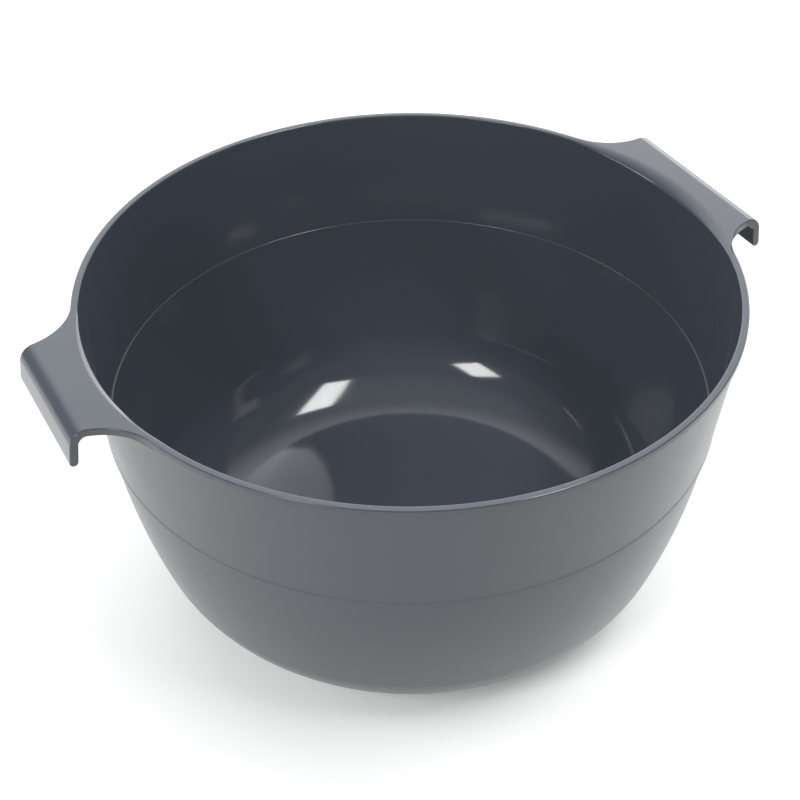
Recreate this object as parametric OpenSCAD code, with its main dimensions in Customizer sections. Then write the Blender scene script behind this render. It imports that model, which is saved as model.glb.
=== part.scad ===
// Large kitchen mixing bowl with two hooked side handles, moulded in one shot.
// The bowl stands on the XY plane, its axis is Z and its handles lie along X.
// Each node is one moulded region, and neighbouring regions meet face to face.

/* [Bowl] */
// Inside diameter of the mouth, at the top edge
mouth_d = 300; // [240:1:380]
// Height from the table to the top of the rim
bowl_h = 167; // [140:1:220]
// Thickness of the walls and of the floor
wall = 2.3; // [1.6:0.1:3]
// Width of the flat land on top of the rim
rim_w = 3.3; // [3.2:0.1:6]
// Depth of the small lip that stands out from the wall
lip_h = 3.4; // [2:0.1:5]
// Rounding of the rim's edges
edge_r = 0.6; // [0.2:0.05:0.7]

/* [Wall line] */
// Depth of the line round the wall, below the rim
band_h = 61.3; // [30:0.1:75]
// How far the wall's inner face has come in from the mouth's edge, just below the line
line_in = 7.4; // [1.5:0.1:20]
// Inward step of the wall at the line
line_step = 0.6; // [0.2:0.05:1]
// Rounding of the step's two edges
step_r = 0.35; // [0.1:0.05:0.5]

/* [Base] */
// Diameter of the flat floor inside, as a share of the mouth's
floor_share = 0.55; // [0.4:0.01:0.6]
// Inside radius of the heel between the floor and the wall
heel_r = 48.7; // [25:0.1:60]
// Inside radius of the long belly curve between the heel and the line
belly_r = 332; // [180:1:900]
// Height of the foot ring under the floor
foot_h = 2; // [1:0.1:5]
// Width of the foot ring
foot_w = 3; // [2:0.1:8]
// Rounding of the foot ring's lower edges
foot_r = 0.6; // [0.2:0.05:0.9]
// Diameter of the recess round the moulding gate, under the floor
gate_d = 10; // [5:0.5:16]
// Depth of that recess
gate_depth = 0.8; // [0.3:0.1:1.2]
// Diameter of the gate's pip
pip_d = 2.4; // [1:0.1:4]
// Height of the gate's pip, which stays inside the recess
pip_h = 0.5; // [0.1:0.1:0.8]

/* [Handles] */
// Thickness of the handles
grip_t = 3.8; // [2.4:0.1:4.5]
// Reach of the bend's centre line from the mouth's edge
bend_out = 15.7; // [14:0.1:40]
// Outside radius of the bend
bend_r = 7.6; // [5:0.1:12]
// Depth of the hooked grip, from the rim to its lower edge
grip_h = 18; // [14:0.5:40]
// Outward lean of the hooked grip from upright
grip_lean = 8; // [0:0.5:15]
// Distance from the X axis to the near end of the left handle's straight fold
near_left = 29; // [25:1:55]
// Distance from the X axis to the far end of the left handle's straight fold
far_left = 37; // [25:1:55]
// Distance from the X axis to the near end of the right handle's straight fold
near_right = 38; // [25:1:55]
// Distance from the X axis to the far end of the right handle's straight fold
far_right = 52; // [25:1:55]
// Radius of the concave flare from the fold's ends into the rim
flare_r = 30; // [18:1:60]
// Thickness at which the flare's tip ends against the rim
flare_tip = 0.35; // [0.2:0.05:1]
// Radius of the fillet between the handle's underside and the wall
root_r = 5; // [2:0.1:8]

/* [Thumb rolls] */
// Radius of the rolled edge inside the mouth at each handle
roll_r = 16; // [12:0.5:24]
// Slope of a roll where it leaves the plate, at its crease
roll_lean = 20; // [10:1:30]
// How far the left roll's crease lies outside the mouth's edge
roll_left = 2.4; // [1:0.1:5]
// How far the right roll's crease lies outside the mouth's edge
roll_right = 5.2; // [1:0.1:6]
// Angle by which a roll runs on past the tips of its handle
roll_past = 5; // [2:0.5:10]

/* [Hidden] */
$fn = 180;
// Segments of a small rounding
small_fn = 32;

plastic = [0.27, 0.29, 0.33];

// Overrun of every cut past the faces that it removes
over = 1;
// Depth by which the root fillet's circle passes the plate's underside and the wall
root_bite = 0.1;

mouth_r = mouth_d / 2;
rim_r = mouth_r + rim_w;
line_r = mouth_r - line_in;
floor_r = floor_share * mouth_r;
bend_x = mouth_r + bend_out;
line_z = bowl_h - band_h;
lip_z = bowl_h - lip_h;
floor_z = foot_h + wall;

// Lean of the upper wall from upright
draft = atan((mouth_r - line_r - line_step) / band_h);

// Centres of the heel's arc and of the belly's arc, which touch each other;
// the belly's arc also passes through the inner edge of the line
heel_c = [floor_r, floor_z + heel_r];
line_p = [line_r, line_z];
to_heel = heel_c - line_p;
reach = norm(to_heel);
along = (belly_r ^ 2 - (belly_r - heel_r) ^ 2 + reach ^ 2) / (2 * reach);
aside = sqrt(belly_r ^ 2 - along ^ 2);
unit = to_heel / reach;
belly_c = line_p + along * unit + aside * [unit[1], -unit[0]];
toward_heel = (heel_c - belly_c) / (belly_r - heel_r);

bend_z = bowl_h - bend_r;

function dir(a) = [cos(a), sin(a)];

// Distance from the bowl's axis to a fold's end, which lies e off the X axis
function end_reach(e) = norm([bend_x, e]);

// Angle from the X axis to the centre of the flare's arc, which starts at that end
// and touches the rim
function flare_angle(e) = atan2(e, bend_x) + acos(
    (end_reach(e) ^ 2 + (rim_r + flare_r) ^ 2 - flare_r ^ 2) / (2 * end_reach(e) * (rim_r + flare_r))
);

// Angle from the X axis to the flare's tip, where it is flare_tip thick
tip_turn = asin(sqrt(2 * flare_tip / (1 / rim_r + 1 / flare_r)) / rim_r);
function tip_angle(e) = flare_angle(e) - tip_turn;

// Middle of a handle between its two tips, and the angle from there to a tip
function mid_angle(near, far) = (tip_angle(far) - tip_angle(near)) / 2;
function half_angle(near, far) = (tip_angle(far) + tip_angle(near)) / 2;

// Distance of a roll's own axis from the bowl's axis, for a crease that lies out of the
// mouth's edge in the middle of the handle and meets that edge past its tips
function roll_x(near, far, out) = ((mouth_r + out) ^ 2 - mouth_r ^ 2)
    / (2 * (mouth_r + out - mouth_r * cos(half_angle(near, far) + roll_past)));

// What rounding takes off a convex corner at p, whose sides run along angles a and b
module corner_cut(p, a, b, r) {
    half = (b - a) / 2;
    mid = (a + b) / 2;
    run = r / tan(half);
    c = p + r / sin(half) * dir(mid);
    difference() {
        polygon([p + run * dir(a), p - r * dir(mid), p + run * dir(b), c]);
        translate(c) circle(r = r, $fn = small_fn);
    }
}

// Half section of all that lies inside the wall's face; grow is 0 for the inner face and wall for the outer
module half_section(grow) {
    touch_z = heel_c[1] + (heel_r + grow) * toward_heel[1];
    bottom_z = floor_z - grow;
    // Upper band, with its draft
    polygon([
        [0, line_z],
        [line_r + line_step + grow, line_z],
        [mouth_r + grow, bowl_h],
        [0, bowl_h],
    ]);
    // Belly
    intersection() {
        translate([0, touch_z]) square([mouth_r + grow, line_z - touch_z]);
        translate(belly_c) circle(r = belly_r + grow);
    }
    // Heel and floor
    intersection() {
        translate([0, bottom_z]) square([mouth_r + grow, touch_z - bottom_z]);
        union() {
            translate(heel_c) circle(r = heel_r + grow);
            square([floor_r, heel_c[1]]);
        }
    }
}

// Half section of the whole moulding without its foot and handles
module wall_section() {
    difference() {
        union() {
            half_section(wall);
            translate([0, lip_z]) square([rim_r, lip_h]);
        }
        half_section(0);
        translate([0, bowl_h - over]) square([mouth_r - over * tan(draft), 2 * over]);
        corner_cut([mouth_r, bowl_h], -90 - draft, 0, edge_r);
        corner_cut([line_r + line_step + wall, line_z], 90 - draft, 180, step_r);
        corner_cut([line_r, line_z], -90, 0, step_r);
    }
}

// The part of the moulding between two heights and two radii
module ring_of_wall(z0, z1, r0, r1) {
    rotate_extrude() intersection() {
        wall_section();
        translate([r0, z0]) square([r1 - r0, z1 - z0]);
    }
}

// The rolled edge at a handle on the +X side, as the room that it takes out of the mouth's edge
module thumb_roll(near, far, out) {
    axis_x = roll_x(near, far, out);
    centre = [
        mouth_r + out - axis_x + roll_r * sin(roll_lean),
        bowl_h - roll_r * cos(roll_lean),
    ];
    rotate([0, 0, mid_angle(near, far)]) translate([axis_x, 0, 0]) rotate_extrude() difference() {
        translate([0, centre[1]]) square([centre[0], bowl_h + over - centre[1]]);
        translate(centre) circle(r = roll_r);
    }
}

// Both thumb rolls
module thumb_rolls() {
    thumb_roll(near_right, far_right, roll_right);
    mirror([1, 0, 0]) thumb_roll(near_left, far_left, roll_left);
}

// What rounding takes off the rim's outer edges between the handles, from one angle to another
module rim_rounding(from, to) {
    rotate([0, 0, from]) rotate_extrude(angle = to - from) {
        corner_cut([rim_r, bowl_h], 180, 270, edge_r);
        corner_cut([rim_r, lip_z], 90, 180, edge_r);
    }
}

// The same on both free stretches of the rim
module rim_roundings() {
    rim_rounding(tip_angle(far_right), 180 - tip_angle(far_left));
    rim_rounding(180 + tip_angle(near_left), 360 - tip_angle(near_right));
}

module rim() {
    color(plastic) difference() {
        ring_of_wall(lip_z, bowl_h, 0, rim_r);
        rim_roundings();
        thumb_rolls();
    }
}

module upper_wall() {
    color(plastic) difference() {
        ring_of_wall(line_z, lip_z, 0, rim_r);
        thumb_rolls();
    }
}

module lower_bowl() {
    color(plastic) ring_of_wall(foot_h, line_z, floor_r, rim_r);
}

// Floor, with the moulding gate's recess and pip in the middle of its underside
module floor_disc() {
    color(plastic) difference() {
        translate([0, 0, foot_h]) cylinder(r = floor_r, h = wall);
        translate([0, 0, foot_h - over]) difference() {
            cylinder(d = gate_d, h = over + gate_depth);
            translate([0, 0, over + gate_depth - pip_h]) cylinder(d = pip_d, h = pip_h + over);
        }
    }
}

module foot_ring() {
    color(plastic) rotate_extrude() difference() {
        translate([floor_r - foot_w, 0]) square([foot_w, foot_h]);
        corner_cut([floor_r, 0], 90, 180, foot_r);
        corner_cut([floor_r - foot_w, 0], 0, 90, foot_r);
    }
}

// Side view of the bend, with the end of the plate, and of the hooked grip, which ends in
// a full round
module hook_outline() {
    drop = (grip_h - bend_r - grip_t / 2) / cos(grip_lean);
    translate([bend_x - grip_t, bowl_h - grip_t]) square([grip_t, grip_t]);
    translate([bend_x, bend_z]) {
        difference() {
            circle(r = bend_r);
            circle(r = bend_r - grip_t);
            translate([-2 * bend_r, -2 * bend_r]) square([2 * bend_r, 4 * bend_r]);
            rotate(grip_lean) translate([-2 * bend_r, -2 * bend_r]) square([4 * bend_r, 2 * bend_r]);
        }
        rotate(grip_lean) {
            translate([bend_r - grip_t, -drop]) square([grip_t, drop]);
            translate([bend_r - grip_t / 2, -drop]) circle(d = grip_t);
        }
    }
}

// Plan view of a handle's plate, whose sides flare from the fold's ends into the rim
module plate_outline(near, far) {
    difference() {
        polygon([
            [0, 0],
            [bend_x, -bend_x * tan(tip_angle(near))],
            [bend_x, bend_x * tan(tip_angle(far))],
        ]);
        translate((rim_r + flare_r) * dir(-flare_angle(near))) circle(r = flare_r);
        translate((rim_r + flare_r) * dir(flare_angle(far))) circle(r = flare_r);
    }
}

// Half section of the plate and of the fillet between its underside and the wall
module plate_section(reach) {
    under_z = bowl_h - grip_t;
    in_r = mouth_r + wall - (grip_t + root_r) * tan(draft);
    centre = [in_r + root_r - root_bite, under_z - root_r + root_bite];
    translate([0, under_z]) square([reach + over, grip_t]);
    difference() {
        translate([0, centre[1]]) square([centre[0], root_r]);
        translate(centre) circle(r = root_r);
    }
}

// All that lies inside the upper wall's outer face and the rim's side
module inside_of_wall() {
    low = bowl_h - grip_h;
    low_r = mouth_r + wall - grip_h * tan(draft);
    rotate_extrude() polygon([
        [0, low],
        [low_r, low],
        [mouth_r + wall - lip_h * tan(draft), lip_z],
        [rim_r, lip_z],
        [rim_r, bowl_h + over],
        [0, bowl_h + over],
    ]);
}

// Handle on the +X side, whose fold runs from near to far and whose roll's crease lies out
module handle(near, far, out) {
    difference() {
        union() {
            rotate([90, 0, 0]) translate([0, 0, -far]) linear_extrude(near + far) hook_outline();
            intersection() {
                rotate_extrude() plate_section(end_reach(max(near, far)));
                linear_extrude(bowl_h + over) plate_outline(near, far);
            }
        }
        inside_of_wall();
        thumb_roll(near, far, out);
    }
}

module handle_left() {
    color(plastic) mirror([1, 0, 0]) handle(near_left, far_left, roll_left);
}

module handle_right() {
    color(plastic) handle(near_right, far_right, roll_right);
}

rim();
upper_wall();
lower_bowl();
floor_disc();
foot_ring();
handle_left();
handle_right();
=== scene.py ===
"""Dresses a large slate-grey kitchen mixing bowl with two hooked side handles."""

import logging
import math
from dataclasses import dataclass, field
from enum import Enum, auto
from functools import cached_property, partial

import bmesh
import bpy
from bmesh.types import BMEdge, BMesh, BMVert
from bpy.types import Material, Mesh, Node, NodeSocket, NodeTree, Object
from mathutils import Matrix, Vector


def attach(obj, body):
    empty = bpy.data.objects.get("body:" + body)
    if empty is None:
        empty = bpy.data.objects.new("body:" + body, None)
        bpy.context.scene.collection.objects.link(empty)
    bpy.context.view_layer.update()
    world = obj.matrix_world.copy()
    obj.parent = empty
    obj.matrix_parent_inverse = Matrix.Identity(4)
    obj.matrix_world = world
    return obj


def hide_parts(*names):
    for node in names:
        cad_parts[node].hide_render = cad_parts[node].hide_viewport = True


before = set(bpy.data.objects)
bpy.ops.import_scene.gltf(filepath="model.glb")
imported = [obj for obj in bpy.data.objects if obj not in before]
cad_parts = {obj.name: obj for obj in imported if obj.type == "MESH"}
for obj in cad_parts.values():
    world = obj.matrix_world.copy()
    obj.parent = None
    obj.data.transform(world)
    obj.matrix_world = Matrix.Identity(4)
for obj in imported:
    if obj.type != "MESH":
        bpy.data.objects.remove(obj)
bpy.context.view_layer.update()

log = logging.getLogger("bowl")

MM = 0.001
TOUCH = 0.01 * MM  # points that are closer than this are one point
TINY = 1e-6  # slack of a comparison of angles
GLOSSY, SATIN = 0, 1  # the material slots of the two finishes


class Region(Enum):
    """The moulding's regions: each is a piece that stands for the CAD node of that name."""

    RIM = "rim"
    UPPER_WALL = "upper_wall"
    LOWER_BOWL = "lower_bowl"
    FLOOR_DISC = "floor_disc"
    FOOT_RING = "foot_ring"
    HANDLE_LEFT = "handle_left"
    HANDLE_RIGHT = "handle_right"

    @property
    def number(self) -> int:
        """Gives the region's number in the skin's layer, in which 0 means a new face."""
        return list(Region).index(self) + 1


class Row(Enum):
    """The kinds of rows in the wall's section. All but the plain ones follow the handles."""

    PLAIN = auto()
    INNER = auto()
    CORNER = auto()
    LAND = auto()
    BORDER = auto()
    EDGE_TOP = auto()
    EDGE_LOW = auto()
    ROOT = auto()


class Seam(Enum):
    """The rows at which one region ends and the next one starts."""

    FLOOR_TOP = auto()
    LINE_IN = auto()
    LIP_IN = auto()
    BORDER = auto()
    ROOT_LOW = auto()
    LINE_OUT = auto()
    HEEL_LOW = auto()
    FOOT_IN = auto()


def ramp(value: float) -> float:
    """Gives the smooth step from 0 to 1 of a value that is kept between them."""
    value = min(max(value, 0.0), 1.0)
    return value * value * (3.0 - 2.0 * value)


def arc(centre: Vector, radius: float, start: float, end: float, count: int) -> list[Vector]:
    """Lists points along an arc of a section.

    Args:
        centre: the arc's centre, as radius and height.
        radius: the arc's radius.
        start: the angle of its first point.
        end: the angle of its last point.
        count: how many steps it has.

    Returns:
        The points, both ends included.
    """
    turns = [start + (end - start) * k / count for k in range(count + 1)]
    return [centre + radius * Vector((math.cos(t), math.sin(t))) for t in turns]


def rounded(start: Vector, corner: Vector, end: Vector, count: int) -> list[Vector]:
    """Lists points along the arc that rounds a corner off and touches both of its sides.

    Args:
        start: the point where the arc leaves the first side.
        corner: the corner.
        end: the point where the arc joins the second side, as far from the corner.
        count: how many steps the arc has.

    Returns:
        The points, both ends included.
    """
    pull = math.cos((corner - start).angle(end - corner) / 2.0)
    points = []
    for k in range(count + 1):
        t = k / count
        a, b, c = (1.0 - t) ** 2, 2.0 * pull * t * (1.0 - t), t * t
        points.append((a * start + b * corner + c * end) / (a + b + c))
    return points


def add_object(name: str, data: bpy.types.ID) -> Object:
    """Makes an object of a mesh, a lamp or a camera and puts it in the scene."""
    added = bpy.data.objects.new(name, data)
    bpy.context.scene.collection.objects.link(added)
    return added


def add_math(tree: NodeTree, operation: str, *values: object) -> NodeSocket:
    """Adds a sum to a node tree.

    Args:
        tree: the tree.
        operation: Blender's name of the operation.
        values: its inputs, as sockets or numbers.

    Returns:
        The socket that gives the result.
    """
    node = tree.nodes.new("ShaderNodeMath")
    node.operation = operation
    for socket, value in zip(node.inputs, values):
        if isinstance(value, NodeSocket):
            tree.links.new(value, socket)
        else:
            socket.default_value = value
    return node.outputs[0]


@dataclass(frozen=True)
class BowlSizes:
    """The bowl's own lengths, in metres."""

    mouth_r: float = 150.0 * MM
    height: float = 167.0 * MM
    wall: float = 2.3 * MM
    rim_w: float = 3.3 * MM
    lip_h: float = 3.4 * MM
    edge_r: float = 0.6 * MM
    corner_run: float = 0.7 * MM
    band_h: float = 61.3 * MM
    line_in: float = 7.4 * MM
    line_step: float = 0.6 * MM
    step_r: float = 0.35 * MM
    floor_r: float = 82.5 * MM
    heel_r: float = 48.7 * MM
    belly_r: float = 332.0 * MM
    foot_h: float = 2.0 * MM
    foot_w: float = 3.0 * MM
    foot_r: float = 0.6 * MM
    gate_r: float = 5.0 * MM
    gate_depth: float = 0.8 * MM
    pip_r: float = 1.2 * MM
    pip_h: float = 0.5 * MM

    @property
    def rim_r(self) -> float:
        """Gives the radius of the rim's outer side."""
        return self.mouth_r + self.rim_w

    @property
    def line_r(self) -> float:
        """Gives the inner radius just below the wall's line."""
        return self.mouth_r - self.line_in

    @property
    def line_z(self) -> float:
        """Gives the height of the wall's line."""
        return self.height - self.band_h

    @property
    def floor_z(self) -> float:
        """Gives the height of the floor's upper face."""
        return self.foot_h + self.wall

    @property
    def draft(self) -> float:
        """Gives the lean of the upper wall from upright."""
        return math.atan((self.line_in - self.line_step) / self.band_h)

    @property
    def heel_c(self) -> Vector:
        """Gives the centre of the heel's arc, as radius and height."""
        return Vector((self.floor_r, self.floor_z + self.heel_r))

    @property
    def belly_c(self) -> Vector:
        """Gives the centre of the belly's arc, which touches the heel's arc."""
        start = Vector((self.line_r, self.line_z))
        way = self.heel_c - start
        reach = way.length
        spare = self.belly_r - self.heel_r
        along = (self.belly_r**2 - spare**2 + reach**2) / (2.0 * reach)
        aside = math.sqrt(self.belly_r**2 - along**2)
        way.normalize()
        return start + along * way + aside * Vector((way.y, -way.x))

    @property
    def touch(self) -> float:
        """Gives the angle at which the belly's arc touches the heel's."""
        belly, heel = self.belly_c, self.heel_c
        return math.atan2(heel.y - belly.y, heel.x - belly.x)

    def inner_r(self, z: float) -> float:
        """Gives the radius of the upper wall's inner face at a height."""
        return self.mouth_r - (self.height - z) * math.tan(self.draft)

    def outer_r(self, z: float) -> float:
        """Gives the radius of the upper wall's outer face at a height."""
        return self.inner_r(z) + self.wall


@dataclass
class Section:
    """The section of the wall, from the middle of the floor over the rim to the gate.

    The floor's rows are shares of its radius. The depths are millimetres below the rim's top,
    and the bead above the outer line is pairs of depth and height off the wall.
    """

    bowl: BowlSizes = field(default_factory=BowlSizes)
    heel_steps: int = 34
    belly_steps: int = 16
    round_steps: int = 5
    floor_share: tuple[float, ...] = (
        0.12, 0.3, 0.5, 0.65, 0.74, 0.78, 0.82, 0.86, 0.89, 0.92, 0.95, 0.975,
    )
    lip_depths: tuple[float, ...] = (3.1, 2.8, 2.5, 2.2, 1.9, 1.6, 1.3, 1.0, 0.75)
    band_depths: tuple[float, ...] = (
        61.3, 60.4, 57.0, 51.0, 44.0, 37.0, 30.0, 23.0, 16.0, 11.0, 8.0, 6.0, 5.0, 4.4,
        4.0, 3.7, 3.4,
    )
    outer_depths: tuple[float, ...] = (
        11.0, 14.0, 18.0, 24.0, 31.0, 38.0, 45.0, 52.0, 57.0,
    )
    bead: tuple[tuple[float, float], ...] = (
        (58.6, 0.0), (59.1, 0.05), (59.6, 0.17), (60.0, 0.27), (60.4, 0.30),
    )
    rows: list[tuple[Row, int, Vector]] = field(default_factory=list)
    seams: dict[Seam, int] = field(default_factory=dict)

    def plain(self, points: list[Vector]) -> None:
        """Adds rows that keep their place all the way round."""
        self.rows.extend((Row.PLAIN, 0, point) for point in points)

    def shaped(self, kind: Row, count: int) -> None:
        """Adds rows that the mouth and the handles place."""
        self.rows.extend((kind, k, Vector((0.0, 0.0))) for k in range(count))

    def seam(self, name: Seam) -> None:
        """Marks the row that was added last as a seam."""
        self.seams[name] = len(self.rows) - 1

    def trace(self) -> None:
        """Lists all rows in order and marks the seams."""
        self.trace_inside()
        self.trace_rim()
        self.trace_outside()
        self.trace_underside()

    def trace_inside(self) -> None:
        """Adds the floor, the heel, the belly and the band up to the mouth's edge."""
        b = self.bowl
        belly, heel, touch = b.belly_c, b.heel_c, b.touch
        to_step = math.asin((b.line_z - b.step_r - belly.y) / b.belly_r)
        self.plain([Vector((0.0, b.floor_z))])
        self.plain([Vector((s * b.floor_r, b.floor_z)) for s in self.floor_share])
        self.plain([Vector((b.floor_r, b.floor_z))])
        self.seam(Seam.FLOOR_TOP)
        self.plain(arc(heel, b.heel_r, -math.pi / 2.0, touch, self.heel_steps)[1:])
        self.plain(arc(belly, b.belly_r, touch, to_step, self.belly_steps)[1:-1])
        corner = Vector((b.line_r, b.line_z))
        down, out = Vector((0.0, -b.step_r)), Vector((b.step_r, 0.0))
        self.plain(rounded(corner + down, corner, corner + out, self.round_steps))
        self.seams[Seam.LINE_IN] = len(self.rows)
        self.seams[Seam.LIP_IN] = len(self.rows) + len(self.band_depths) - 1
        self.shaped(Row.INNER, len(self.band_depths) + len(self.lip_depths))

    def trace_rim(self) -> None:
        """Adds the mouth's edge, the land, the outer edges and the root under them."""
        self.shaped(Row.CORNER, self.round_steps + 1)
        self.shaped(Row.LAND, 1)
        self.shaped(Row.BORDER, 1)
        self.seam(Seam.BORDER)
        self.shaped(Row.EDGE_TOP, 1)
        self.shaped(Row.EDGE_LOW, 1)
        self.shaped(Row.ROOT, self.round_steps + 1)
        self.seam(Seam.ROOT_LOW)

    def trace_outside(self) -> None:
        """Adds the outer wall from below the lip down to the foot."""
        b = self.bowl
        belly, heel, touch = b.belly_c, b.heel_c, b.touch
        to_line = math.asin((b.line_z - belly.y) / (b.belly_r + b.wall))
        heights = [b.height - depth * MM for depth in self.outer_depths]
        self.plain([Vector((b.outer_r(z), z)) for z in heights])
        for depth, out in self.bead:
            z = b.height - depth * MM
            self.plain([Vector((b.outer_r(z) + out * MM, z))])
        step = Vector((b.outer_r(b.line_z) + self.bead[-1][1] * MM, b.line_z))
        run = b.step_r / math.tan((math.pi / 2.0 + b.draft) / 2.0)
        up = run * Vector((math.sin(b.draft), math.cos(b.draft)))
        self.plain(rounded(step + up, step, step - Vector((run, 0.0)), self.round_steps))
        points = arc(belly, b.belly_r + b.wall, to_line, touch, self.belly_steps)
        self.plain(points[:1])
        self.seam(Seam.LINE_OUT)
        self.plain(points[1:-1])
        self.plain(arc(heel, b.heel_r + b.wall, touch, -math.pi / 2.0, self.heel_steps))
        self.seam(Seam.HEEL_LOW)

    def trace_underside(self) -> None:
        """Adds the foot ring, the underside of the floor and the gate's recess."""
        b = self.bowl
        inner = b.floor_r - b.foot_w
        up, way = Vector((0.0, b.foot_r)), Vector((b.foot_r, 0.0))
        outer_corner, inner_corner = Vector((b.floor_r, 0.0)), Vector((inner, 0.0))
        self.plain(rounded(outer_corner + up, outer_corner, outer_corner - way, self.round_steps))
        self.plain(rounded(inner_corner + way, inner_corner, inner_corner + up, self.round_steps))
        self.plain([Vector((inner, b.foot_h))])
        self.seam(Seam.FOOT_IN)
        self.plain([Vector((s * b.floor_r, b.foot_h)) for s in reversed(self.floor_share[:-1])])
        roof = b.foot_h + b.gate_depth
        self.plain([
            Vector((b.gate_r, b.foot_h)), Vector((b.gate_r, roof)), Vector((b.pip_r, roof)),
            Vector((b.pip_r, roof - b.pip_h)), Vector((0.0, roof - b.pip_h)),
        ])


@dataclass
class Handle:
    """A side handle: its plate and flares, its root, its roll, its fold and its grip.

    The side is 1 for +X and -1 for -X. The fold reaches from near, toward -Y, to far, and
    the crease lies that far outside the mouth's edge.
    """

    region: Region
    side: int
    near: float
    far: float
    crease: float
    hook_columns: int
    bowl: BowlSizes = field(default_factory=BowlSizes)
    grip_t: float = 3.8 * MM
    bend_out: float = 15.7 * MM
    bend_r: float = 7.6 * MM
    grip_h: float = 18.0 * MM
    grip_lean: float = math.radians(8.0)
    flare_r: float = 30.0 * MM
    flare_columns: int = 24
    root_r: float = 5.0 * MM
    root_min: float = 0.25 * MM
    root_start: float = 1.5 * MM
    roll_r: float = 16.0 * MM
    roll_lean: float = math.radians(20.0)
    roll_past: float = math.radians(3.43)
    roll_low: float = 8.0 * MM
    roll_reach: float = math.radians(60.0)
    roll_blend: float = 0.7 * MM
    crease_run: float = 1.2 * MM
    roll_steep: float = 2.0
    margin: float = 1.1 * MM
    bend_steps: int = 14
    drop_steps: int = 3
    end_steps: int = 12

    @property
    def bend_x(self) -> float:
        """Gives how far the bend's axis lies from the bowl's axis."""
        return self.bowl.mouth_r + self.bend_out

    def fold_angle(self, end: float) -> float:
        """Gives the angle of a fold's end, which lies that far off the X axis."""
        return math.atan2(end, self.bend_x)

    def tip_angle(self, end: float) -> float:
        """Gives the angle at which the flare from a fold's end touches the rim."""
        reach = math.hypot(self.bend_x, end)
        span = self.bowl.rim_r + self.flare_r
        cosine = (reach**2 + span**2 - self.flare_r**2) / (2.0 * reach * span)
        return self.fold_angle(end) + math.acos(cosine)

    @cached_property
    def tips(self) -> tuple[float, float]:
        """Gives the local angles of the near tip and the far tip."""
        return -self.tip_angle(self.near), self.tip_angle(self.far)

    @cached_property
    def fold_ends(self) -> tuple[float, float]:
        """Gives the local angles of the fold's near end and far end."""
        return -self.fold_angle(self.near), self.fold_angle(self.far)

    def local(self, azimuth: float) -> float:
        """Gives an azimuth as an angle from the handle's own side, positive on the far side."""
        angle = azimuth if self.side > 0 else math.pi - azimuth
        return math.remainder(angle, 2.0 * math.pi)

    def spans(self, angle: float) -> bool:
        """Says if a local angle lies between the handle's tips, both included."""
        return self.tips[0] - TINY <= angle <= self.tips[1] + TINY

    def on_fold(self, angle: float) -> bool:
        """Says if a local angle lies between the fold's ends, both included."""
        return self.fold_ends[0] - TINY <= angle <= self.fold_ends[1] + TINY

    def outline(self, angle: float) -> float:
        """Gives the radius of the plate's edge, or of the rim's past the tips."""
        if not self.spans(angle):
            return self.bowl.rim_r
        if self.on_fold(angle):
            return self.bend_x / math.cos(angle)
        tip = self.tips[angle > 0.0]
        span = self.bowl.rim_r + self.flare_r
        off = span * math.sin(angle - tip)
        return span * math.cos(angle - tip) - math.sqrt(self.flare_r**2 - off**2)

    def growth(self, angle: float) -> float:
        """Gives how far the root is grown, from 0 at the tips to 1 along the handle."""
        if not self.spans(angle):
            return 0.0
        turn = abs(self.tips[angle > 0.0] - angle)
        return ramp(turn * self.bowl.rim_r / self.root_start)

    def roll(self, angle: float, z: float) -> float:
        """Gives the radius of the thumb roll's face at a local angle and a height."""
        b = self.bowl
        near, far = self.tips
        turn = angle - (far + near) / 2.0
        if z < b.height - self.roll_low or abs(turn) > self.roll_reach:
            return 0.0
        reach = b.mouth_r + self.crease
        chord = reach - b.mouth_r * math.cos((far - near) / 2.0 + self.roll_past)
        axis_x = (reach**2 - b.mouth_r**2) / (2.0 * chord)
        centre_z = b.height - self.roll_r * math.cos(self.roll_lean)
        centre_r = reach - axis_x + self.roll_r * math.sin(self.roll_lean)
        ring = centre_r - math.sqrt(self.roll_r**2 - (z - centre_z) ** 2)
        return axis_x * math.cos(turn) + math.sqrt(ring**2 - (axis_x * math.sin(turn)) ** 2)

    def fold_hook(self, bm: BMesh, edges: list, low: list) -> None:
        """Turns the plate's upper fold over the bend, down and round the grip, and back.

        Args:
            bm: the moulding's skin.
            edges: the edges of the fold on the plate's upper face.
            low: the edges of the fold on its lower face, where the grip's inside ends.
        """
        lean, reach = self.grip_lean, self.bend_r - self.grip_t / 2.0
        out = Vector((self.side * math.cos(lean), 0.0, math.sin(lean)))
        down = Vector((self.side * math.sin(lean), 0.0, -math.cos(lean)))
        fall = (self.grip_h - self.bend_r - self.grip_t / 2.0) / math.cos(lean)
        bend = Vector((self.side * self.bend_x, 0.0, self.bowl.height - self.bend_r))
        turn = math.pi / 2.0 - lean

        def spin(edges: list, centre: Vector, angle: float, steps: int) -> list:
            """Spins edges about a line along the fold and gives the last ones."""
            made = bmesh.ops.spin(
                bm, geom=edges + list({v for e in edges for v in e.verts}), cent=centre,
                axis=(0.0, self.side, 0.0), angle=angle, steps=steps)
            return [e for e in made["geom_last"] if isinstance(e, BMEdge)]

        def push(edges: list, way: Vector) -> list:
            """Extrudes edges straight on in equal steps and gives the last ones."""
            for _ in range(self.drop_steps):
                made = bmesh.ops.extrude_edge_only(bm, edges=edges)["geom"]
                ends = {v for v in made if isinstance(v, BMVert)}
                edges = [e for e in made if isinstance(e, BMEdge)
                         and e.verts[0] in ends and e.verts[1] in ends]
                bmesh.ops.translate(bm, verts=list(ends), vec=way / self.drop_steps)
            return edges

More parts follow.
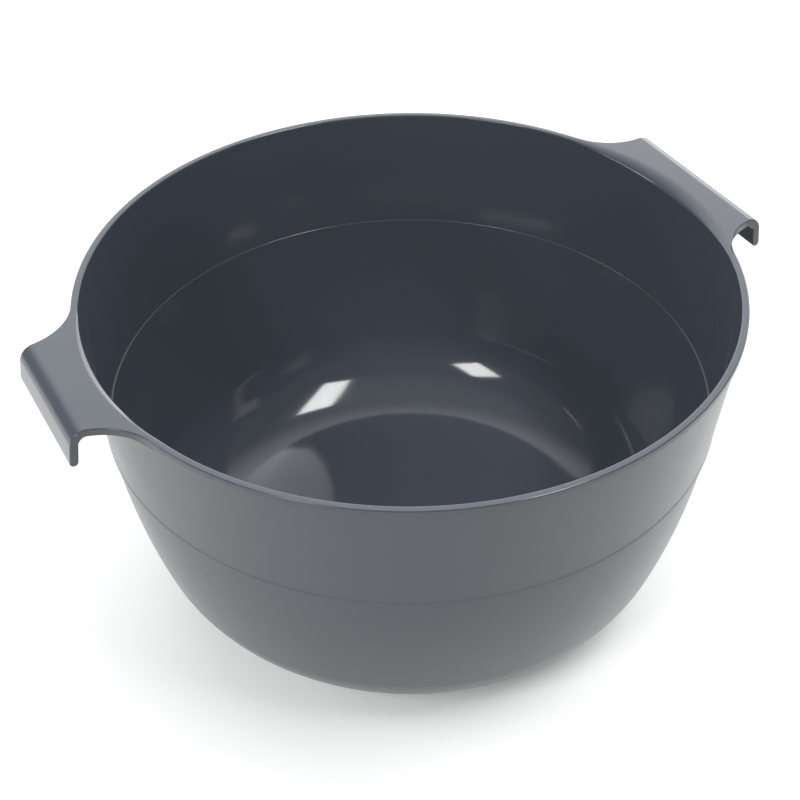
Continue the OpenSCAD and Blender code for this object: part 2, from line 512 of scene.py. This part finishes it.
        edges = spin(edges, bend, turn, self.bend_steps)
        edges = push(edges, fall * down)
        edges = spin(edges, bend + fall * down + reach * out, math.pi, self.end_steps)
        edges = push(edges, -fall * down)
        edges = spin(edges, bend, -turn, self.bend_steps)
        joint = {v for e in edges + low for v in e.verts}
        bmesh.ops.remove_doubles(bm, verts=list(joint), dist=TOUCH)


@dataclass
class Moulding:
    """The whole moulding: one skin, spun and folded, then parted into its regions."""

    bowl: BowlSizes = field(default_factory=BowlSizes)
    section: Section = field(default_factory=Section)
    left: Handle = field(default_factory=lambda: Handle(
        Region.HANDLE_LEFT, -1, 29.0 * MM, 37.0 * MM, 2.4 * MM,
        hook_columns=30, crease_run=0.6 * MM))
    right: Handle = field(default_factory=lambda: Handle(
        Region.HANDLE_RIGHT, 1, 38.0 * MM, 52.0 * MM, 5.2 * MM, hook_columns=40))
    free_columns: int = 88
    edge_steps: int = 4
    slope_probe: float = 0.1 * MM
    land_min: float = 0.4 * MM
    soft_reach: float = 20.0 * MM
    sharp_from: float = math.radians(40.0)
    near_tip: float = 0.002
    turns: list[float] = field(default_factory=list)

    def space_columns(self) -> None:
        """Lists the azimuth of every column, closer together at the handles' flares."""
        stops = []
        for handle in (self.right, self.left):
            ends = [handle.tips[0], *handle.fold_ends, handle.tips[1]]
            if handle.side < 0:
                ends = [math.pi - end for end in reversed(ends)]
            flare = handle.flare_columns
            stops.extend(zip(ends, (flare, handle.hook_columns, flare, self.free_columns)))
        stops.append((2.0 * math.pi + self.right.tips[0], 0))
        for (start, count), (end, _) in zip(stops, stops[1:]):
            self.turns.extend(start + (end - start) * k / count for k in range(count))

    def side_of(self, azimuth: float) -> Handle:
        """Gives the handle on an azimuth's side of the bowl."""
        return self.right if math.cos(azimuth) > 0.0 else self.left

    def inner(self, azimuth: float, z: float) -> float:
        """Gives the radius of the inner face, with the thumb rolls, at an azimuth and height."""
        handle = self.side_of(azimuth)
        face, roll = self.bowl.inner_r(z), handle.roll(handle.local(azimuth), z)
        soft = max(handle.roll_blend - abs(face - roll), 0.0)
        return max(face, roll) + soft * soft / (4.0 * handle.roll_blend)

    def place(self, kind: Row, number: int, azimuth: float) -> Vector:
        """Places a shaped row on a column.

        Args:
            kind: the row's kind.
            number: its number in that kind.
            azimuth: the column's azimuth.

        Returns:
            The point, as radius and height.
        """
        b = self.bowl
        if kind is Row.INNER:
            z = b.height - (self.section.band_depths + self.section.lip_depths)[number] * MM
            return Vector((self.inner(azimuth, z), z))
        crest = Vector((self.inner(azimuth, b.height), b.height))
        probe = self.slope_probe
        slope = (crest.x - self.inner(azimuth, b.height - probe)) / probe
        handle = self.side_of(azimuth)
        rolled = ramp((slope - math.tan(b.draft)) / handle.roll_steep)
        run = b.corner_run + (handle.crease_run - b.corner_run) * rolled
        start_z = b.height - run / math.hypot(1.0, slope)
        start = Vector((self.inner(azimuth, start_z), start_z))
        end = crest + Vector((run, 0.0))
        if kind is Row.CORNER:
            return rounded(start, crest, end, self.section.round_steps)[number]
        edge = handle.outline(handle.local(azimuth))
        border = min(max(b.rim_r, end.x + self.land_min), edge - handle.margin)
        across = {Row.LAND: (end.x + border) / 2.0, Row.BORDER: border, Row.EDGE_TOP: edge}
        if kind in across:
            return Vector((across[kind], b.height))
        return self.place_below(kind, number, handle, handle.growth(handle.local(azimuth)), edge)

    def place_below(
        self, kind: Row, number: int, handle: Handle, grown: float, edge: float
    ) -> Vector:
        """Places a row of the lip's or the plate's underside.

        Args:
            kind: the row's kind, the lower edge or the root.
            number: its number in that kind.
            handle: the handle on the column's side.
            grown: how far the handle's root is grown there.
            edge: the radius of the outer side.

        Returns:
            The point, as radius and height.
        """
        b = self.bowl
        root = handle.root_min + (handle.root_r - handle.root_min) * grown
        under = b.height - b.lip_h - (handle.grip_t - b.lip_h) * grown
        centre = Vector((b.outer_r(under - root) + root / math.cos(b.draft), under - root))
        if kind is Row.EDGE_LOW:
            reach = min(edge - centre.x, 0.0)
            return Vector((edge, centre.y + math.sqrt(root**2 - reach**2)))
        last = math.acos(min(max((edge - handle.margin - centre.x) / root, -1.0), 0.0))
        turn = last + (math.pi - b.draft - last) * number / self.section.round_steps
        return centre + root * Vector((math.cos(turn), math.sin(turn)))

    def spin_skin(self) -> BMesh:
        """Spins the section and sets every row on every column.

        Returns:
            The skin without its hooks, with each vertex's row and column in its layers.
        """
        rows, turns = self.section.rows, self.turns
        bm = bmesh.new()
        chain = [bm.verts.new((MM * (1 + k), 0.0, 0.0)) for k in range(len(rows))]
        edges = [bm.edges.new(pair) for pair in zip(chain, chain[1:])]
        bmesh.ops.spin(
            bm, geom=chain + edges, cent=(0.0, 0.0, 0.0), axis=(0.0, 0.0, 1.0),
            angle=2.0 * math.pi, steps=len(turns), use_merge=True)
        row_of = bm.verts.layers.int.new("row")
        column_of = bm.verts.layers.int.new("column")
        for vert in bm.verts:
            azimuth = math.atan2(vert.co.y, vert.co.x) % (2.0 * math.pi)
            column = round(azimuth * len(turns) / (2.0 * math.pi)) % len(turns)
            row = round(vert.co.xy.length / MM) - 1
            kind, number, point = rows[row]
            if kind is not Row.PLAIN:
                point = self.place(kind, number, turns[column])
            vert[row_of], vert[column_of] = row, column
            turn = turns[column]
            vert.co = (point.x * math.cos(turn), point.x * math.sin(turn), point.y)
        poles = [v for v in bm.verts if v[row_of] in (0, len(rows) - 1)]
        bmesh.ops.remove_doubles(bm, verts=poles, dist=TOUCH)
        return bm

    def claim(self, bm: BMesh, faces: list, region: Region, finish: int) -> None:
        """Gives faces to a region, with one of the two finishes and a smooth shading."""
        region_of = bm.faces.layers.int["region"]
        for face in faces:
            face[region_of] = region.number
            face.material_index = finish
            face.smooth = True

    def mark_faces(self, bm: BMesh) -> None:
        """Gives each face of the spun skin to its region."""
        seams = self.section.seams
        row_of, column_of = bm.verts.layers.int["row"], bm.verts.layers.int["column"]
        bm.faces.layers.int.new("region")
        order = (
            (Seam.FLOOR_TOP, Region.LOWER_BOWL), (Seam.LINE_IN, Region.UPPER_WALL),
            (Seam.LIP_IN, Region.RIM), (Seam.ROOT_LOW, Region.UPPER_WALL),
            (Seam.LINE_OUT, Region.LOWER_BOWL), (Seam.HEEL_LOW, Region.FOOT_RING),
            (Seam.FOOT_IN, Region.FLOOR_DISC),
        )
        edge_row = seams[Seam.BORDER] + 1
        for face in bm.faces:
            row = min(v[row_of] for v in face.verts)
            region = Region.FLOOR_DISC
            for seam, name in order:
                if row >= seams[seam]:
                    region = name
            if seams[Seam.BORDER] <= row < seams[Seam.ROOT_LOW]:
                columns = [self.turns[v[column_of]] for v in face.verts]
                for handle in (self.left, self.right):
                    if all(handle.spans(handle.local(a)) for a in columns):
                        region = handle.region
            self.claim(bm, [face], region, SATIN if row >= edge_row else GLOSSY)

    def hang_hooks(self, bm: BMesh) -> None:
        """Folds both hooks out of their plates, and rounds the outer edges."""
        kinds = [kind for kind, _, _ in self.section.rows]
        top, low = kinds.index(Row.EDGE_TOP), kinds.index(Row.EDGE_LOW)
        row_of, column_of = bm.verts.layers.int["row"], bm.verts.layers.int["column"]
        region_of = bm.faces.layers.int["region"]

        def on_fold(handle: Handle, verts: list) -> bool:
            """Says if all vertices are on the columns of a handle's fold."""
            return all(handle.on_fold(handle.local(self.turns[v[column_of]])) for v in verts)

        handles = (self.left, self.right)
        band = [
            f for f in bm.faces if {v[row_of] for v in f.verts} == {top, low}
            and any(on_fold(h, f.verts) for h in handles)
        ]
        bmesh.ops.delete(bm, geom=band, context="FACES_ONLY")
        chains = {row: [e for e in bm.edges if all(v[row_of] == row for v in e.verts)]
                  for row in (top, low)}
        folds = [(h, [e for e in chains[top] if on_fold(h, e.verts)],
                  [e for e in chains[low] if on_fold(h, e.verts)]) for h in handles]
        for handle, upper, lower in folds:
            handle.fold_hook(bm, upper, lower)
            self.claim(bm, [f for f in bm.faces if not f[region_of]], handle.region, SATIN)
        bmesh.ops.delete(bm, geom=[e for e in bm.edges if e.is_wire], context="EDGES")
        open_edges = [e for e in bm.edges if e.is_boundary]
        rounds = [e for e in open_edges
                  if max(abs(v.co.x) for v in e.verts) > self.left.bend_x + TOUCH]
        rounds += [e for e in bm.edges if all(v[row_of] in (top, low) for v in e.verts)
                   and e.verts[0][column_of] != e.verts[1][column_of]
                   and not any(on_fold(h, e.verts) for h in handles)]
        for face in bmesh.ops.holes_fill(bm, edges=open_edges, sides=0)["faces"]:
            handle = self.right if face.calc_center_median().x > 0.0 else self.left
            self.claim(bm, [face], handle.region, SATIN)
        bmesh.ops.recalc_face_normals(bm, faces=list(bm.faces))
        bmesh.ops.bevel(
            bm, geom=rounds, offset=self.bowl.edge_r, offset_type="OFFSET", profile=0.5,
            segments=self.edge_steps, affect="EDGES", material=-1, loop_slide=True,
            clamp_overlap=False)
        bmesh.ops.recalc_face_normals(bm, faces=list(bm.faces))

    def smooth_skin(self, bm: BMesh) -> BMesh:
        """Weighs the skin's shading by area, so that flats stay flat next to small roundings.

        Args:
            bm: the finished skin, which is used up.

        Returns:
            The same skin with the weighed normal of each corner in a layer.
        """
        mesh = bpy.data.meshes.new("skin")
        bm.to_mesh(mesh)
        bm.free()
        mesh.set_sharp_from_angle(angle=self.sharp_from)
        holder = add_object("skin", mesh)
        weigh = holder.modifiers.new("weigh", "WEIGHTED_NORMAL")
        weigh.keep_sharp = True
        shown = holder.evaluated_get(bpy.context.evaluated_depsgraph_get()).data
        normals = [0.0] * (3 * len(mesh.loops))
        shown.corner_normals.foreach_get("vector", normals)
        self.soften_floor(mesh, normals)
        layer = mesh.attributes.new("skin_normal", "FLOAT_VECTOR", "CORNER")
        layer.data.foreach_set("vector", normals)
        skin = bmesh.new()
        skin.from_mesh(mesh)
        bpy.data.objects.remove(holder)
        bpy.data.meshes.remove(mesh)
        return skin

    def soften_floor(self, mesh: Mesh, normals: list[float]) -> None:
        """Lets the shading of the inner floor turn into the heel's without a ring of light.

        Args:
            mesh: the finished skin.
            normals: three numbers for each corner, changed in place.
        """
        ring, reach = self.section.bowl.floor_r, self.soft_reach
        steepest = math.asin(reach / self.section.bowl.heel_r)
        for loop in mesh.loops:
            spot, first = mesh.vertices[loop.vertex_index].co, 3 * loop.index
            radius = math.hypot(spot.x, spot.y)
            if abs(radius - ring) >= reach or normals[first + 2] <= 0.0:
                continue
            tilt = steepest * ((radius - ring + reach) / (2.0 * reach)) ** 2
            inward = -math.sin(tilt) / radius
            normals[first:first + 3] = (spot.x * inward, spot.y * inward, math.cos(tilt))

    def part_region(self, skin: BMesh, region: Region) -> BMesh:
        """Takes a region out of the skin and closes it where it meets its neighbours.

        Args:
            skin: the whole skin.
            region: the region that is wanted.

        Returns:
            The region as a closed mesh.
        """
        s, row_at = Seam, self.section.seams
        rings = {
            Region.RIM: ((s.LIP_IN, s.ROOT_LOW),),
            Region.UPPER_WALL: ((s.LIP_IN, s.ROOT_LOW), (s.LINE_IN, s.LINE_OUT)),
            Region.LOWER_BOWL: ((s.LINE_IN, s.LINE_OUT), (s.FLOOR_TOP, s.HEEL_LOW)),
            Region.FLOOR_DISC: ((s.FLOOR_TOP, s.HEEL_LOW), (s.HEEL_LOW, s.FOOT_IN)),
            Region.FOOT_RING: ((s.HEEL_LOW, s.FOOT_IN),),
        }.get(region, ())
        roots = [h for h in (self.left, self.right) if region in (Region.RIM, h.region)]
        bm = skin.copy()
        row_of = bm.verts.layers.int["row"]
        region_of = bm.faces.layers.int["region"]
        others = [f for f in bm.faces if f[region_of] != region.number]
        bmesh.ops.delete(bm, geom=others, context="FACES_ONLY")
        held = {row_at[seam] for pair in rings for seam in pair}
        bmesh.ops.delete(bm, geom=[
            e for e in bm.edges if e.is_wire
            and not (e.verts[0][row_of] == e.verts[1][row_of] and e.verts[0][row_of] in held)
        ], context="EDGES")
        bmesh.ops.delete(bm, geom=[v for v in bm.verts if not v.link_edges], context="VERTS")
        for handle in roots:
            self.bridge(bm, (s.BORDER, s.ROOT_LOW), handle)
            for tip in handle.tips:
                edges = [
                    e for e in bm.edges if e.is_boundary
                    and all(abs(self.local_of(handle, v) - tip) < self.near_tip for v in e.verts)
                ]
                bmesh.ops.holes_fill(bm, edges=edges, sides=0)
        for pair in rings:
            self.bridge(bm, pair, None)
        bmesh.ops.recalc_face_normals(bm, faces=list(bm.faces))
        return bm

    def local_of(self, handle: Handle, vert: BMVert) -> float:
        """Gives a vertex's angle from a handle's side."""
        return handle.local(math.atan2(vert.co.y, vert.co.x))

    def bridge(
        self, bm: BMesh, pair: tuple[Seam, Seam], handle: Handle | None
    ) -> None:
        """Bridges the open edges of two seams, all round or along one handle.

        Args:
            bm: the region's mesh.
            pair: the two seams.
            handle: the handle whose columns are bridged, or none for all columns.
        """
        row_of = bm.verts.layers.int["row"]
        numbers = [self.section.seams[seam] for seam in pair]
        edges = [
            e for e in bm.edges if len(e.link_faces) < 2
            and e.verts[0][row_of] == e.verts[1][row_of] and e.verts[0][row_of] in numbers
            and (handle is None or all(handle.spans(self.local_of(handle, v)) for v in e.verts))
        ]
        bmesh.ops.bridge_loops(bm, edges=edges)

    def finish_piece(
        self, bm: BMesh, region: Region, materials: tuple
    ) -> Object:
        """Turns a closed region into a piece that stands for its CAD node.

        Args:
            bm: the region's mesh, which is used up.
            region: the region.
            materials: the inside's finish and the outside's.

        Returns:
            The piece's object.
        """
        skin_normal = bm.loops.layers.float_vector["skin_normal"]
        normals = []
        for face in bm.faces:
            face.smooth = any(loop[skin_normal].length for loop in face.loops)
            normals.extend(tuple(loop[skin_normal]) for loop in face.loops)
        name = f"bowl_{region.value}"
        mesh = bpy.data.meshes.new(name)
        bm.to_mesh(mesh)
        bm.free()
        for layer in ("row", "column", "region", "skin_normal"):
            mesh.attributes.remove(mesh.attributes[layer])
        mesh.normals_split_custom_set(normals)
        for finish in materials:
            mesh.materials.append(finish)
        piece = add_object(name, mesh)
        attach(piece, "root")
        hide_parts(region.value)
        return piece

    def build(self, materials: tuple) -> None:
        """Builds all pieces of the bowl and reports them.

        Args:
            materials: the inside's finish and the outside's.
        """
        self.section.trace()
        self.space_columns()
        skin = self.spin_skin()
        self.mark_faces(skin)
        self.hang_hooks(skin)
        skin = self.smooth_skin(skin)
        for region in Region:
            piece = self.finish_piece(self.part_region(skin, region), region, materials)
            log.info("%s built with %d faces", piece.name, len(piece.data.polygons))
        skin.free()


class Socket(Enum):
    """The kinds of sockets that the shared effects have."""

    VECTOR = "NodeSocketVector"
    COLOR = "NodeSocketColor"
    VALUE = "NodeSocketFloat"


@dataclass
class Effect:
    """A shared effect of the plastic's surface, as a shader node group."""

    name: str
    inputs: dict[str, Socket]
    outputs: dict[str, Socket]
    tree: NodeTree = field(init=False)
    start: Node = field(init=False)
    end: Node = field(init=False)

    def __post_init__(self) -> None:
        """Makes the empty group with its sockets."""
        self.tree = bpy.data.node_groups.new(self.name, "ShaderNodeTree")
        for in_out, sockets in (("INPUT", self.inputs), ("OUTPUT", self.outputs)):
            for name, kind in sockets.items():
                self.tree.interface.new_socket(name=name, in_out=in_out, socket_type=kind.value)
        self.start = self.tree.nodes.new("NodeGroupInput")
        self.end = self.tree.nodes.new("NodeGroupOutput")

    def noise(self, scale: float, detail: float, rough: float) -> NodeSocket:
        """Adds a noise over the group's own vector.

        Args:
            scale: how many times it varies over a metre.
            detail: how many finer layers it has.
            rough: how strong the finer layers are.

        Returns:
            The socket that gives its value.
        """
        node = self.tree.nodes.new("ShaderNodeTexNoise")
        node.inputs["Scale"].default_value = scale
        node.inputs["Detail"].default_value = detail
        node.inputs["Roughness"].default_value = rough
        self.tree.links.new(self.start.outputs["Vector"], node.inputs["Vector"])
        return node.outputs["Fac"]

    def sum(self, operation: str, *values: object) -> NodeSocket:
        """Adds a sum to the group and gives its result."""
        return add_math(self.tree, operation, *values)

    def give(self, name: str, value: NodeSocket) -> None:
        """Puts a value out of the group by name."""
        self.tree.links.new(value, self.end.inputs[name])


@dataclass
class PlasticEffects:
    """The effects that the inside's and the outside's finish share.

    Each noise has its scale over a metre, its number of finer layers and their strength.
    """

    clouds: tuple[float, float, float] = (14.0, 3.0, 0.5)
    specks: tuple[float, float, float] = (420.0, 1.0, 0.5)
    ripple: tuple[float, float, float] = (26.0, 1.0, 0.5)
    grain: tuple[float, float, float] = (1500.0, 2.0, 0.6)
    scuffs: tuple[float, float, float] = (90.0, 4.0, 0.6)
    cloud_share: float = 0.65
    speck_share: float = 0.35

    def flow_tint(self) -> NodeTree:
        """Makes the faint clouds and specks of pigment that the melt leaves in the colour.

        Returns:
            The group.
        """
        effect = Effect(
            "flow_tint",
            {"Vector": Socket.VECTOR, "Dark": Socket.COLOR, "Light": Socket.COLOR},
            {"Color": Socket.COLOR})
        clouds = effect.sum("MULTIPLY", effect.noise(*self.clouds), self.cloud_share)
        share = effect.sum("MULTIPLY_ADD", effect.noise(*self.specks), self.speck_share, clouds)
        mix = effect.tree.nodes.new("ShaderNodeMix")
        mix.data_type = "RGBA"
        effect.tree.links.new(share, mix.inputs["Factor"])
        effect.tree.links.new(effect.start.outputs["Dark"], mix.inputs["A"])
        effect.tree.links.new(effect.start.outputs["Light"], mix.inputs["B"])
        effect.give("Color", mix.outputs["Result"])
        return effect.tree

    def mould_face(self) -> NodeTree:
        """Makes the mould's polish: its slow ripple, its fine grain and its uneven gloss.

        Returns:
            The group.
        """
        effect = Effect(
            "mould_face",
            {"Vector": Socket.VECTOR, "Ripple": Socket.VALUE, "Grain": Socket.VALUE,
             "Smoothest": Socket.VALUE, "Roughest": Socket.VALUE},
            {"Roughness": Socket.VALUE, "Height": Socket.VALUE})
        start = effect.start.outputs
        ripple = effect.sum("MULTIPLY", effect.noise(*self.ripple), start["Ripple"])
        grain = effect.noise(*self.grain)
        effect.give("Height", effect.sum("MULTIPLY_ADD", grain, start["Grain"], ripple))
        span = effect.sum("SUBTRACT", start["Roughest"], start["Smoothest"])
        scuffs = effect.noise(*self.scuffs)
        effect.give("Roughness", effect.sum("MULTIPLY_ADD", scuffs, span, start["Smoothest"]))
        return effect.tree


@dataclass(frozen=True)
class MouldedPlastic:
    """One finish of the slate plastic."""

    name: str
    dark: tuple[float, float, float]
    light: tuple[float, float, float]
    smoothest: float
    roughest: float
    ripple: float
    grain: float
    refraction: float = 1.5
    deepest: float = 1.0 * MM

    def build(
        self, tint: NodeTree, face: NodeTree
    ) -> Material:
        """Makes the material.

        Args:
            tint: the group that varies the colour.
            face: the group that gives the gloss and the relief.

        Returns:
            The material.
        """
        finish = bpy.data.materials.new(self.name)
        finish.use_nodes = True
        tree = finish.node_tree
        shader = tree.nodes["Principled BSDF"]
        place = tree.nodes.new("ShaderNodeTexCoord").outputs["Object"]
        values = {
            "Dark": (*self.dark, 1.0), "Light": (*self.light, 1.0), "Ripple": self.ripple,
            "Grain": self.grain, "Smoothest": self.smoothest, "Roughest": self.roughest,
        }
        groups = []
        for group in (tint, face):
            node = tree.nodes.new("ShaderNodeGroup")
            node.node_tree = group
            tree.links.new(place, node.inputs["Vector"])
            for socket in node.inputs:
                if socket.name in values:
                    socket.default_value = values[socket.name]
            groups.append(node)
        bump = tree.nodes.new("ShaderNodeBump")
        bump.inputs["Distance"].default_value = self.deepest
        tree.links.new(groups[1].outputs["Height"], bump.inputs["Height"])
        tree.links.new(groups[0].outputs["Color"], shader.inputs["Base Color"])
        tree.links.new(groups[1].outputs["Roughness"], shader.inputs["Roughness"])
        tree.links.new(bump.outputs["Normal"], shader.inputs["Normal"])
        shader.inputs["IOR"].default_value = self.refraction
        return finish


@dataclass
class PhotoCamera:
    """The camera, as it was fitted to the photograph, in metres and radians."""

    lens: float = 67.5
    sensor: float = 36.0
    back: float = 0.562511
    height: float = 0.564178
    tilt_down: float = 0.695993
    pan: float = -0.0085175
    roll: float = -0.0102495
    handle_turn: float = 0.501589
    nearest: float = 0.01

    def build(self) -> None:
        """Makes the camera and sets it as the scene's own."""
        forward = Vector((
            math.sin(self.pan) * math.cos(self.tilt_down),
            math.cos(self.pan) * math.cos(self.tilt_down),
            -math.sin(self.tilt_down),
        ))
        right = Vector((math.cos(self.pan), -math.sin(self.pan), 0.0))
        up = right.cross(forward)
        side = math.cos(self.roll) * right + math.sin(self.roll) * up
        top = -math.sin(self.roll) * right + math.cos(self.roll) * up
        axes = Matrix((side, top, -forward)).transposed().to_4x4()
        place = Matrix.Translation((0.0, -self.back, self.height)) @ axes
        data = bpy.data.cameras.new("photo_camera")
        data.lens = self.lens
        data.sensor_width = self.sensor
        data.clip_start = self.nearest
        camera = add_object("photo_camera", data)
        camera.matrix_world = Matrix.Rotation(-self.handle_turn, 4, "Z") @ place
        bpy.context.scene.camera = camera


@dataclass
class Softbox:
    """One soft lamp of the studio, aimed at the bowl, in the photograph's frame."""

    name: str
    toward: tuple[float, float, float]
    along: tuple[float, float, float]
    length: float
    width: float
    glow: float
    distance: float = 1.7

    def build(self, turn: float) -> None:
        """Hangs the softbox.

        Args:
            turn: the angle between the photograph's frame and the part's.
        """
        way = Vector(self.toward).normalized()
        across = way.cross(Vector(self.along)).normalized()
        axes = Matrix((across.cross(way), across, way)).transposed().to_4x4()
        data = bpy.data.lights.new(self.name, "AREA")
        data.shape = "RECTANGLE"
        data.size = self.length
        data.size_y = self.width
        data.energy = self.glow * math.pi * self.length * self.width
        lamp = add_object(self.name, data)
        lamp.matrix_world = (
            Matrix.Rotation(-turn, 4, "Z") @ Matrix.Translation(way * self.distance) @ axes)


@dataclass
class Studio:
    """Plain pale surroundings, the lamps and the camera.

    A direction's height is the sine of its elevation. The strip is a low band of light
    behind the bowl, and the backdrop is a broad soft light above it.
    """

    floor_size: float = 14.0
    floor_color: tuple[float, float, float] = (0.86, 0.86, 0.86)
    floor_rough: float = 0.9
    floor_shine: float = 0.1
    floor_lift: float = 0.20
    sky: float = 0.12
    low_sky: float = 0.30
    low_sky_power: float = 2.0
    overhead: float = 0.40
    overhead_edge: float = 0.72
    strip: float = 1.5
    strip_top: float = 0.50
    strip_full: float = 0.36
    strip_foot: float = 0.06
    strip_side: float = 0.40
    strip_middle: float = 0.70
    backdrop: float = 1.9
    backdrop_way: tuple[float, float, float] = (0.0, 0.82, 0.57)
    backdrop_edge: float = 0.60
    backdrop_full: float = 0.97
    camera: PhotoCamera = field(default_factory=PhotoCamera)
    lamps: tuple[Softbox, ...] = (
        Softbox("softbox_right", (0.39, -0.18, 0.86), (0.12, -0.96, -0.25), 0.87, 0.29, 18.0),
        Softbox("softbox_front", (-0.43, -0.60, 0.66), (-0.095, 0.215, 0.125), 0.45, 0.37, 17.0),
        Softbox("softbox_left", (-0.85, -0.08, 0.50), (0.01, 0.44, 0.09), 0.76, 0.26, 10.0),
    )

    def build_world(self) -> None:
        """Makes the pale surroundings: a dim sky, a panel overhead and light from behind."""
        world = bpy.data.worlds.new("studio")
        world.use_nodes = True
        tree = world.node_tree
        ground = tree.nodes["Background"]
        ground.inputs["Color"].default_value = (1.0, 1.0, 1.0, 1.0)
        way = tree.nodes.new("ShaderNodeTexCoord").outputs["Generated"]
        sums = partial(add_math, tree)

        def fade(
            value: NodeSocket, edge: float, full: float, top: float = 1.0
        ) -> NodeSocket:
            """Adds a soft rise from nothing at the edge to the top level and gives it."""
            node = tree.nodes.new("ShaderNodeMapRange")
            node.interpolation_type = "SMOOTHSTEP"
            for name, number in (("From Min", edge), ("From Max", full), ("To Max", top)):
                node.inputs[name].default_value = number
            tree.links.new(value, node.inputs["Value"])
            return node.outputs["Result"]

        def toward(target: Vector) -> NodeSocket:
            """Gives the cosine of the angle between a direction and a target."""
            node = tree.nodes.new("ShaderNodeVectorMath")
            node.operation = "DOT_PRODUCT"
            node.inputs[1].default_value = target.normalized()
            tree.links.new(way, node.inputs[0])
            return node.outputs["Value"]

        parts = tree.nodes.new("ShaderNodeSeparateXYZ")
        tree.links.new(way, parts.inputs[0])
        up = parts.outputs["Z"]
        lowness = sums("SUBTRACT", 1.0, sums("ABSOLUTE", up))
        lowness = sums("POWER", lowness, self.low_sky_power)
        level = sums("MULTIPLY_ADD", lowness, self.low_sky, self.sky)
        level = sums("ADD", level, fade(up, self.overhead_edge, 1.0, self.overhead))
        back = Matrix.Rotation(-self.camera.handle_turn, 3, "Z") @ Vector(self.backdrop_way)
        lit = fade(toward(back), self.backdrop_edge, self.backdrop_full, self.backdrop)
        below = fade(up, self.strip_top, self.strip_full, self.strip)
        strip = sums("MULTIPLY", below, fade(up, 0.0, self.strip_foot))
        behind = toward(Vector((back.x, back.y, 0.0)))
        strip = sums("MULTIPLY", strip, fade(behind, self.strip_side, self.strip_middle))
        tree.links.new(sums("ADD", sums("ADD", level, lit), strip), ground.inputs["Strength"])
        bpy.context.scene.world = world

    def build_floor(self) -> None:
        """Lays the pale floor, which the camera and the gloss see as nearly white."""
        bm = bmesh.new()
        bmesh.ops.create_grid(bm, x_segments=1, y_segments=1, size=self.floor_size / 2)
        mesh = bpy.data.meshes.new("floor")
        bm.to_mesh(mesh)
        bm.free()
        floor = add_object("floor", mesh)
        finish = bpy.data.materials.new("pale_floor")
        finish.use_nodes = True
        tree = finish.node_tree
        shader = tree.nodes["Principled BSDF"]
        shader.inputs["Base Color"].default_value = (*self.floor_color, 1.0)
        shader.inputs["Roughness"].default_value = self.floor_rough
        shader.inputs["Specular IOR Level"].default_value = self.floor_shine
        shader.inputs["Emission Color"].default_value = (1.0, 1.0, 1.0, 1.0)
        rays = tree.nodes.new("ShaderNodeLightPath").outputs
        seen = add_math(tree, "MAXIMUM", rays["Is Camera Ray"], rays["Is Glossy Ray"])
        lift = add_math(tree, "MULTIPLY", seen, self.floor_lift)
        tree.links.new(lift, shader.inputs["Emission Strength"])
        mesh.materials.append(finish)

    def build(self) -> None:
        """Sets up the whole studio."""
        bpy.context.scene.view_settings.view_transform = "Standard"
        self.build_world()
        self.build_floor()
        for lamp in self.lamps:
            lamp.build(self.camera.handle_turn)
        self.camera.build()


def main() -> None:
    """Builds the bowl and the studio."""
    logging.basicConfig(level=logging.INFO, format="%(message)s")
    effects = PlasticEffects()
    tint, face = effects.flow_tint(), effects.mould_face()
    glossy = MouldedPlastic(
        "slate_plastic_glossy", (0.059, 0.069, 0.088), (0.066, 0.077, 0.097),
        smoothest=0.06, roughest=0.12, ripple=0.10, grain=0.001)
    satin = MouldedPlastic(
        "slate_plastic_satin", (0.046, 0.053, 0.064), (0.052, 0.060, 0.072),
        smoothest=0.22, roughest=0.29, ripple=0.03, grain=0.001, refraction=1.55)
    Moulding().build((glossy.build(tint, face), satin.build(tint, face)))
    Studio().build()


if __name__ == "__main__":
    main()
